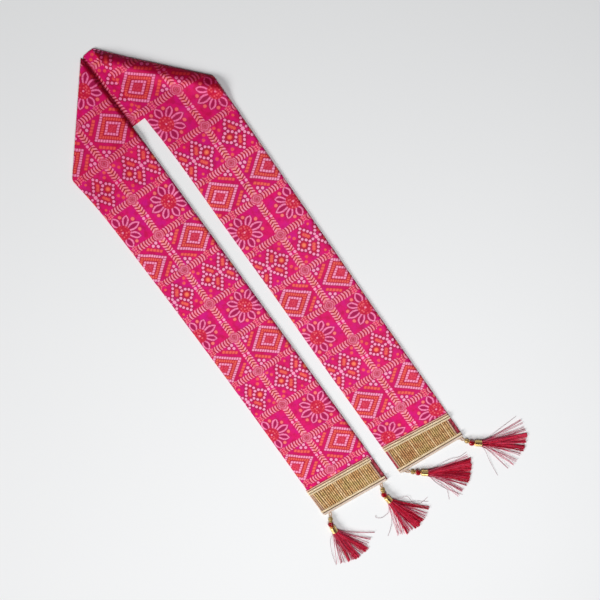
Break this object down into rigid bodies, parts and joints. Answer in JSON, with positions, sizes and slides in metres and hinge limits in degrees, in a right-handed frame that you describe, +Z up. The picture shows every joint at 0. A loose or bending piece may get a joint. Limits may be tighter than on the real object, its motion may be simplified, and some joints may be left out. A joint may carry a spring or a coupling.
{
  "type": "dupatta stole",
  "caption": "Long narrow printed silk stole laid flat, folded on a slant at both sides of the neck, with a ribbed gold lace and beaded silk tassels at its ends.",
  "frame": {"origin": "middle of the laid-out stole's footprint, on the surface it lies on", "axes": "+Z up from the surface, +Y along the arms from their hems to the neck, +X from the left arm to the right arm"},
  "size_m": [0.354, 0.847, 0.0094],
  "materials": {
    "printed_silk": "soft sheen, tie-dye style print in pale pink and orange on hot pink",
    "gold_lace": "ribbed metallic gold thread",
    "gold_thread": "twisted metallic thread",
    "filigree_metal": "antique gold filigree",
    "red_glass": "deep red glass, glossy",
    "gold_cap": "polished",
    "tassel_silk": "glossy crimson thread"
  },
  "bodies": {
    "root": {"arm_left": "printed_silk", "arm_right": "printed_silk", "neck_stretch": "printed_silk", "lace_left": "gold_lace", "lace_right": "gold_lace", "edging_left_upper": "gold_lace", "edging_left_lower": "gold_lace", "edging_right_upper": "gold_lace", "edging_right_lower": "gold_lace", "loop_left_outer": "gold_thread", "filigree_bead_left_outer": "filigree_metal", "glass_bead_left_outer": "red_glass", "cap_left_outer": "gold_cap", "skirt_left_outer": "tassel_silk", "loop_left_inner": "gold_thread", "filigree_bead_left_inner": "filigree_metal", "glass_bead_left_inner": "red_glass", "cap_left_inner": "gold_cap", "skirt_left_inner": "tassel_silk", "loop_right_inner": "gold_thread", "filigree_bead_right_inner": "filigree_metal", "glass_bead_right_inner": "red_glass", "cap_right_inner": "gold_cap", "skirt_right_inner": "tassel_silk", "loop_right_outer": "gold_thread", "filigree_bead_right_outer": "filigree_metal", "glass_bead_right_outer": "red_glass", "cap_right_outer": "gold_cap", "skirt_right_outer": "tassel_silk"}
  },
  "joints": []
}
